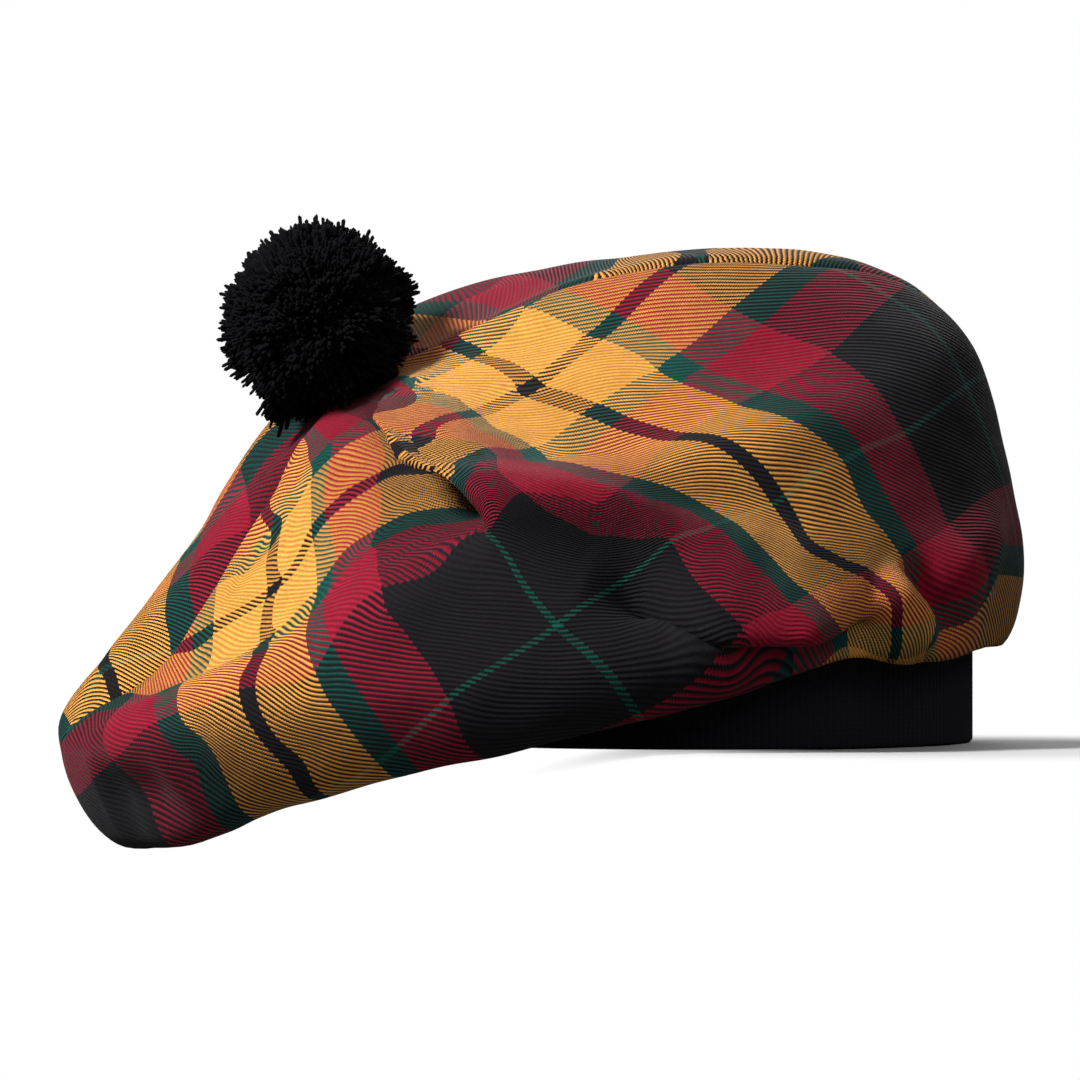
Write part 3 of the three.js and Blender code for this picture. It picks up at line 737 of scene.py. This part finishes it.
def tartan_twill(name):
    """Woven wool twill: matt, with fine slanting ribs to the eye and painted shade in the grooves between them. Each
    thread takes its colour from the sett, warp across u and weft across v, and the weave shows two threads of each in
    turn along the diagonal."""
    size = settings()
    pitch = size.thread_pitch / MM
    material = bpy.data.materials.new(name)
    node = empty_tree(material)
    cloth = node("UVMap", uv_map="cloth")
    count = node("VectorMath", {0: cloth, 1: (1 / pitch, 1 / pitch, 0)}, operation="MULTIPLY")
    thread = node("VectorMath", {0: count}, operation="FLOOR")
    middle = node("VectorMath", {0: thread, 1: (0.5, 0.5, 0)}, operation="ADD")
    across = node("VectorMath", {0: middle, 1: (pitch, pitch, 0)}, operation="MULTIPLY")
    sides = node("SeparateXYZ", {0: across})
    stops = [
        (0, size.black), (YELLOW_LINE_TO, size.yellow), (YELLOW_TO, size.green), (GREEN_TO, size.crimson),
        (CRIMSON_TO, size.black), (GREEN_LINE_FROM, size.green_line),
    ]
    colours = []
    for axis in (0, 1):
        mirrored = node("Math", {0: sides.outputs[axis], 1: SETT_HALF}, operation="PINGPONG")
        share = node("Math", {0: mirrored, 1: SETT_HALF}, operation="DIVIDE")
        ramp = node("ValToRGB", {0: share})
        ramp.color_ramp.interpolation = "CONSTANT"
        elements = ramp.color_ramp.elements
        while len(elements) < len(stops):
            elements.new(1.0)
        for element, (start, colour) in zip(elements, stops):
            element.position = start / SETT_HALF
            element.color = (*colour, 1)
        colours.append(ramp)
    diagonal = node("VectorMath", {0: thread, 1: (1, 1, 0)}, operation="DOT_PRODUCT")
    turn = node("Math", {0: diagonal.outputs["Value"], 1: 4.0}, operation="FLOORED_MODULO")
    on_top = node("Math", {0: turn, 1: 2.0}, operation="LESS_THAN")
    woven = node("Mix", {0: on_top, 6: colours[1], 7: colours[0]}, data_type="RGBA")
    uneven = node("TexWhiteNoise", {0: thread}, noise_dimensions="2D")
    soft = node("TexNoise", {"Vector": cloth, "Scale": 0.12, "Detail": 4.0}, noise_dimensions="2D")
    shade = node("Math", {0: uneven.outputs["Value"], 1: THREAD_SPREAD, 2: THREAD_LEAST}, operation="MULTIPLY_ADD")
    mottle = node("Math", {0: soft, 1: MOTTLE_SPREAD, 2: MOTTLE_LEAST}, operation="MULTIPLY_ADD")
    total = node("Math", {0: shade, 1: mottle}, operation="ADD")
    slope = node("VectorMath", {0: count, 1: (1, 1, 0)}, operation="DOT_PRODUCT")
    rib = node("Math", {0: slope.outputs["Value"], 1: np.pi / 2}, operation="MULTIPLY")
    wave = node("Math", {0: rib}, operation="SINE")
    # Painted shade: the thread colour darkens in the grooves between the twill's ribs, on the same wave that shapes
    # the rib bump
    painted_groove_shade = node("MapRange", {
        "Value": wave, "From Min": -1.0, "From Max": 1.0, "To Min": PAINTED_GROOVE_SHADE, "To Max": 1.0,
    })
    # The sett's colour times the threads' random tone and mottling and the painted groove shade
    tone_and_painted_shade = node("Math", {0: total, 1: painted_groove_shade}, operation="MULTIPLY")
    colour_with_painted_shade = node("VectorMath", {0: woven.outputs[2], 3: tone_and_painted_shade}, operation="SCALE")
    fibre = node("TexNoise", {"Vector": cloth, "Scale": 2.2, "Detail": 3.0}, noise_dimensions="2D")
    height = node("Math", {0: fibre, 1: 1.2, 2: wave}, operation="MULTIPLY_ADD")
    woollen(
        node, colour_with_painted_shade, height, 0.9, size.twill_relief, roughness=0.85, sheen=0.035, sheen_roughness=0.4, specular=0.1)
    return material


def rib_knit(name):
    """Ribbed black knit: dark and soft, with small leaning stitches along each rib, over the ribs of the mesh."""
    size = settings()
    material = bpy.data.materials.new(name)
    node = empty_tree(material)
    knit = node("UVMap", uv_map="cloth")
    axes = node("SeparateXYZ", {0: knit})
    ribs = node("Math", {0: axes, 1: 1.0}, operation="PINGPONG")
    lean = node("Math", {0: ribs, 1: 0.7, 2: axes.outputs[1]}, operation="MULTIPLY_ADD")
    stitch = node("Math", {0: lean, 1: 2 * np.pi / STITCH}, operation="MULTIPLY")
    wave = node("Math", {0: stitch}, operation="SINE")
    fibre = node("TexNoise", {"Vector": knit, "Scale": 3.0, "Detail": 3.0}, noise_dimensions="2D")
    height = node("Math", {0: fibre, 1: 1.5, 2: wave}, operation="MULTIPLY_ADD")
    woollen(
        node, (*size.knit, 1), height, 0.6, KNIT_RELIEF,
        roughness=0.9, sheen=0.02, sheen_roughness=0.5, specular=0.12)
    return material


def glowing_paper(name):
    """White paper, pure white to the eye all but next to the cap; it throws little light back on the cap."""
    material = bpy.data.materials.new(name)
    node = empty_tree(material)
    place = node("TexCoord").outputs["Object"]
    seen = node("LightPath")
    paint = node("Mix", {0: seen, 6: linear(FLOOR_BOUNCE), 7: linear(FLOOR_SEEN)}, data_type="RGBA")
    shader = node("BsdfDiffuse", {"Color": paint.outputs[2]})
    out = node("VectorMath", {0: place, 1: Vector(SHADOW_PLACE) * MM}, operation="DISTANCE")
    clean = node("MapRange", {
        "Value": out.outputs["Value"], "From Min": SHADOW_FROM * MM, "From Max": SHADOW_TO * MM,
    }, interpolation_type="SMOOTHSTEP")
    share = node("Math", {0: clean, 1: seen}, operation="MULTIPLY")
    white = node("Emission", {"Color": linear("#FFFFFF"), "Strength": 1.0})
    paper = node("MixShader", {0: share, 1: shader, 2: white})
    node("OutputMaterial", {"Surface": paper})
    return material


def white_room(name):
    """A white room that is seen as white and lights the cap only softly."""
    world = bpy.data.worlds.new(name)
    node = empty_tree(world)
    seen = node("LightPath")
    strength = node("MapRange", {"Value": seen, "To Min": WORLD_STRENGTH, "To Max": 1.0})
    glow = node("Background", {"Color": linear("#FFFFFF"), "Strength": strength})
    node("OutputWorld", {"Surface": glow})
    return world


COLOUR = {"subtype": "COLOR", "min": 0, "max": 1}


class CapSettings(bpy.types.PropertyGroup):
    """Sizes and colours of the cap."""

    cloth_thickness: bpy.props.FloatProperty(
        name="Cloth Thickness", description="Thickness of the crown's cloth", default=1.5 * MM, min=0.5 * MM,
        subtype="DISTANCE", precision=4)
    wrinkle_height: bpy.props.FloatProperty(
        name="Wrinkle Height", description="Height of the cloth's soft unevenness", default=0.6 * MM, min=0,
        subtype="DISTANCE", precision=4)
    thread_pitch: bpy.props.FloatProperty(
        name="Thread Pitch", description="Distance between neighbouring threads", default=0.54 * MM, min=0.1 * MM,
        subtype="DISTANCE", precision=5)
    twill_relief: bpy.props.FloatProperty(
        name="Twill Relief", description="Height of the twill's ribs", default=0.16 * MM, min=0,
        subtype="DISTANCE", precision=5)
    rib_pitch: bpy.props.FloatProperty(
        name="Rib Pitch", description="Distance between the headband's ribs", default=2.3 * MM, min=1 * MM,
        subtype="DISTANCE", precision=4)
    rib_depth: bpy.props.FloatProperty(
        name="Rib Depth", description="Depth of the headband's ribs", default=0.4 * MM, min=0,
        subtype="DISTANCE", precision=4)
    strand_count: bpy.props.IntProperty(
        name="Strands", description="Strands of yarn in the pompom", default=11500, min=100)
    strand_radius: bpy.props.FloatProperty(
        name="Strand Radius", description="Half the thickness of a strand of yarn", default=0.58 * MM, min=0.1 * MM,
        subtype="DISTANCE", precision=4)
    yellow: bpy.props.FloatVectorProperty(
        name="Yellow", description="The sett's yellow threads", default=linear("#EBA349")[:3], **COLOUR)
    crimson: bpy.props.FloatVectorProperty(
        name="Crimson", description="The sett's crimson threads", default=linear("#93152E")[:3], **COLOUR)
    green: bpy.props.FloatVectorProperty(
        name="Green", description="The sett's green threads", default=linear("#0E4A42")[:3], **COLOUR)
    green_line: bpy.props.FloatVectorProperty(
        name="Green Line", description="The thin line in the middle of the black", default=linear("#0F5246")[:3],
        **COLOUR)
    black: bpy.props.FloatVectorProperty(
        name="Black", description="The sett's black threads", default=linear("#19171B")[:3], **COLOUR)
    knit: bpy.props.FloatVectorProperty(
        name="Headband Black", description="The headband's yarn", default=linear("#1C1B22")[:3], **COLOUR)
    tuft: bpy.props.FloatVectorProperty(
        name="Pompom Black", description="The pompom's yarn", default=linear("#07070A")[:3], **COLOUR)


class TAM_OT_crown(bpy.types.Operator):
    """Makes the two tartan panels of the crown"""

    bl_idname = "tam.crown"
    bl_label = "Make the Crown"

    def execute(self, context):
        material = tartan_twill("tartan_twill")
        for name, (outside, inside, cloth) in crown_panels().items():
            vertices, quads = closed_wall(outside, inside)
            uv = np.concatenate([cloth.reshape(-1, 2)] * 2)
            panel = mesh_object(f"crown_{name}_cloth", vertices, quads, uv)
            panel.data.materials.append(material)
            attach(panel, "root")
            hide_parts(f"crown_{name}_panel")
        return {"FINISHED"}


class TAM_OT_headband(bpy.types.Operator):
    """Makes the ribbed knit headband"""

    bl_idname = "tam.headband"
    bl_label = "Make the Headband"

    def execute(self, context):
        size = settings()
        pitch, depth = size.rib_pitch / MM, size.rib_depth / MM
        fine = np.linspace(0, 2 * np.pi, 3601)
        oval = np.stack([BAND_HALF_WIDTH * np.cos(fine), BAND_HALF_DEPTH * np.sin(fine)], -1)
        run = np.concatenate([[0], np.cumsum(norm(np.diff(oval, axis=0), axis=1))])
        ribs = int(round(run[-1] / pitch))
        per_rib = 8
        columns = ribs * per_rib
        share = np.arange(columns) / columns
        turn = np.interp(share * run[-1], run, fine)
        quarter = np.linspace(0, np.pi / 2, 5)
        rise = np.linspace(BAND_EDGE, BAND_HEIGHT - BAND_EDGE, 10)[1:-1]
        sine, cosine, flat = BAND_EDGE * np.sin(quarter), BAND_EDGE * np.cos(quarter), np.zeros(len(rise))
        inner, top = BAND_EDGE - BAND_WALL, BAND_HEIGHT - BAND_EDGE
        outset = np.concatenate([
            sine - BAND_EDGE, flat, cosine - BAND_EDGE, inner - sine, flat - BAND_WALL, inner - cosine,
        ])
        height = np.concatenate([
            BAND_EDGE - cosine, rise, top + sine, top + cosine, rise[::-1], BAND_EDGE - sine,
        ])
        wave = 0.5 + 0.5 * np.cos(2 * np.pi * share * ribs)
        sink = depth * (1 - wave**0.6)[:, None] * np.where(outset > -BAND_WALL / 2, 1, -1)
        offset = outset - sink
        c, s = np.cos(turn)[:, None], np.sin(turn)[:, None]
        out = np.stack([BAND_HALF_DEPTH * c, BAND_HALF_WIDTH * s], -1)
        out /= norm(out, axis=-1, keepdims=True)
        x = BAND_HALF_WIDTH * c + offset * out[..., 0]
        y = BAND_HALF_DEPTH * s + offset * out[..., 1]
        vertices = np.stack([x, y, np.broadcast_to(height, x.shape)], -1)
        rows = vertices.shape[1]
        i = np.arange(columns * rows).reshape(columns, rows)
        around, up = np.roll(i, -1, 0), np.roll(i, -1, 1)
        quads = np.stack([i, around, np.roll(around, -1, 1), up], -1).reshape(-1, 4)
        knit = np.stack(np.broadcast_arrays(2 * share[:, None] * ribs, height), -1).reshape(-1, 2)
        band = mesh_object("headband_knit", vertices.reshape(-1, 3), quads, knit)
        band.data.materials.append(rib_knit("headband_knit"))
        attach(band, "root")
        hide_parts("headband")
        return {"FINISHED"}


class TAM_OT_pompom(bpy.types.Operator):
    """Makes the pompom's cut strands of yarn and finishes its tie"""

    bl_idname = "tam.pompom"
    bl_label = "Make the Pompom"

    def execute(self, context):
        size = settings()
        count = size.strand_count // 1
        random = np.random.default_rng(11)
        i = np.arange(count) + 0.5
        z, turn = 1 - 2 * i / count, np.pi * (1 + 5**0.5) * i
        way = np.stack([np.sqrt(1 - z**2) * np.cos(turn), np.sqrt(1 - z**2) * np.sin(turn), z], -1)
        way += random.normal(scale=0.05, size=way.shape)
        way /= norm(way, axis=1, keepdims=True)
        uneven = 1 + random.normal(size=count) + np.sin(5 * way[:, 0] + 3 * way[:, 2])
        reach = POMPOM_RADIUS + STRAND_UNEVEN * uneven + POMPOM_TAIL * (way @ POMPOM_TAIL_WAY > POMPOM_TAIL_SPREAD)
        bend = random.normal(scale=1.2, size=way.shape) + 2.2 * np.sin(way @ random.normal(scale=7, size=(3, 3)))
        steps = np.array(STRAND_STEPS)[:, None]
        spine = POMPOM_CENTRE + way[:, None] * reach[:, None, None] * steps + bend[:, None] * steps**3
        spine = clear_of_crown(spine)
        along = np.gradient(spine, axis=1)
        along /= norm(along, axis=-1, keepdims=True) + 1e-9
        side = np.cross(along, random.normal(size=(count, 1, 3)))
        side /= norm(side, axis=-1, keepdims=True) + 1e-9
        over = np.cross(along, side)
        angle = np.linspace(0, 2 * np.pi, 3, endpoint=False)
        thick = size.strand_radius / MM * random.uniform(0.75, 1.25, count)[:, None] * np.array([0.8, 1.0, 1.1])
        ring = np.cos(angle)[:, None] * side[:, :3, None] + np.sin(angle)[:, None] * over[:, :3, None]
        rings = spine[:, :3, None] + thick[..., None, None] * ring
        vertices = np.concatenate([rings.reshape(count, 9, 3), spine[:, 3:4]], 1).reshape(-1, 3)
        a = np.arange(3)
        b = (a + 1) % 3
        walls = np.concatenate([np.stack([a + k, b + k, b + k + 3, a + k + 3], -1) for k in (0, 3)])
        tips = np.concatenate([np.stack([a + 6, b + 6, np.full(3, 9)], -1), [[2, 1, 0]]])
        start = 10 * np.arange(count)[:, None, None]
        core, core_quads, core_tips = closed_ball(POMPOM_CENTRE, POMPOM_CORE * POMPOM_RADIUS, 32, 20, len(vertices))
        quads = np.concatenate([(start + walls).reshape(-1, 4), core_quads])
        triangles = np.concatenate([(start + tips).reshape(-1, 3), core_tips])
        vertices = np.concatenate([vertices, clear_of_crown(core)])
        ball = mesh_object("pompom_strands", vertices, quads, triangles=triangles)
        ball.data.materials.append(yarn("pompom_yarn", (*size.tuft, 1)))
        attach(ball, "root")
        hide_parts("pompom")
        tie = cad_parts["pompom_tie"]
        tie.data.materials.clear()
        tie.data.materials.append(yarn("tie_yarn", (*size.tuft, 1)))
        return {"FINISHED"}


class TAM_OT_stage(bpy.types.Operator):
    """Makes the white floor, the lights and the camera"""

    bl_idname = "tam.stage"
    bl_label = "Make the Stage"

    def execute(self, context):
        low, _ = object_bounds()
        across = np.linspace(-STAGE_HALF, STAGE_HALF, 241)[:, None]
        along = np.linspace(-STAGE_HALF, STAGE_HALF, 5)
        z = low[2] / MM * smoothstep(-across, FLOOR_HIGH_TO, FLOOR_LOW_FROM) - FLOOR_GAP
        places = np.stack(np.broadcast_arrays(across, along, z), -1)
        floor = mesh_object("studio_floor", places.reshape(-1, 3), grid_quads(241, 5))
        floor.data.materials.append(glowing_paper("studio_white"))
        floor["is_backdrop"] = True
        for name, place, size, power in LIGHTS:
            light = bpy.data.lights.new(name, "AREA")
            light.shape, light.size, light.energy = "DISK", size * MM, power
            lamp = bpy.data.objects.new(name, light)
            lamp.location = Vector(place) * MM
            aim = Vector(LIGHT_AIM) * MM - lamp.location
            lamp.rotation_euler = aim.to_track_quat("-Z", "Y").to_euler()
            context.collection.objects.link(lamp)
        context.scene.world = white_room("studio_room")
        context.scene.view_settings.view_transform = "Standard"
        lens = bpy.data.cameras.new("photo_camera")
        lens.sensor_width = 36
        lens.lens = 36 * PIXELS_PER_MM * CAMERA_AWAY / PHOTO_SIDE
        lens.clip_start, lens.clip_end = 0.05, 50
        camera = bpy.data.objects.new("photo_camera", lens)
        camera.location = Vector((CAMERA_X, -CAMERA_AWAY, CAMERA_Z)) * MM
        camera.rotation_euler = (np.pi / 2, 0, 0)
        context.collection.objects.link(camera)
        context.scene.camera = camera
        return {"FINISHED"}


class TAM_PT_sidebar(bpy.types.Panel):
    """Lists the cap's pieces, sizes and colours"""

    bl_idname = "TAM_PT_sidebar"
    bl_label = "Tam o' Shanter"
    bl_space_type = "VIEW_3D"
    bl_region_type = "UI"
    bl_category = "Tam"

    def draw(self, context):
        layout = self.layout
        for name in CapSettings.__annotations__:
            layout.prop(context.scene.tam, name)
        for operator in OPERATORS:
            layout.operator(operator.bl_idname)


OPERATORS = (TAM_OT_crown, TAM_OT_headband, TAM_OT_pompom, TAM_OT_stage)
CLASSES = (CapSettings, *OPERATORS, TAM_PT_sidebar)


def register():
    for cls in CLASSES:
        bpy.utils.register_class(cls)
    bpy.types.Scene.tam = bpy.props.PointerProperty(type=CapSettings)


def unregister():
    del bpy.types.Scene.tam
    for cls in reversed(CLASSES):
        bpy.utils.unregister_class(cls)


def main():
    register()
    bpy.ops.tam.crown()
    bpy.ops.tam.headband()
    bpy.ops.tam.pompom()
    bpy.ops.tam.stage()


if __name__ == "__main__":
    main()
